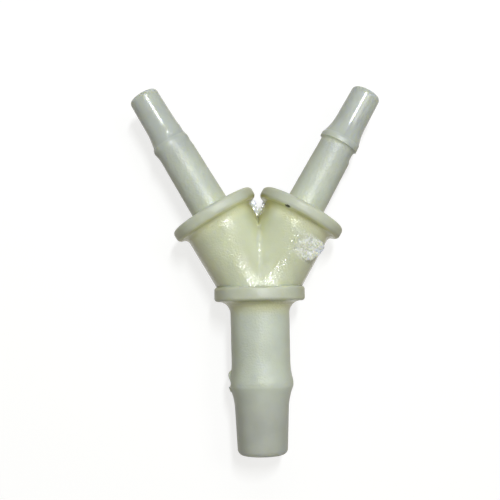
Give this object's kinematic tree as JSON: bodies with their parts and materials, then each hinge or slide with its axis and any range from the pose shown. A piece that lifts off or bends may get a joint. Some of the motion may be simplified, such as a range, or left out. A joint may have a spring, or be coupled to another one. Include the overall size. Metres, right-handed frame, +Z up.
{
  "type": "tubing y connector",
  "caption": "Reducing Y hose connector, moulded in one piece: a larger leg branches into slimmer arms, each with a round collar, a hose barb and a through bore.",
  "frame": {"origin": "the point where the axes of the three flow bores meet, at the foot of the branch, inside the large leg's collar", "axes": "+Y runs up the middle between the two arms, away from the large leg; +X is the side of the arm that carries the gate stub; +Z is up when the part lies on its three collars"},
  "size_m": [0.0412, 0.0602, 0.0148],
  "materials": {
    "natural_plastic": "uncoloured, slightly translucent ivory moulding plastic: spark-textured necks, body and collars, smoother and greyer noses"
  },
  "bodies": {
    "root": {"y_connector": "natural_plastic"}
  },
  "joints": []
}
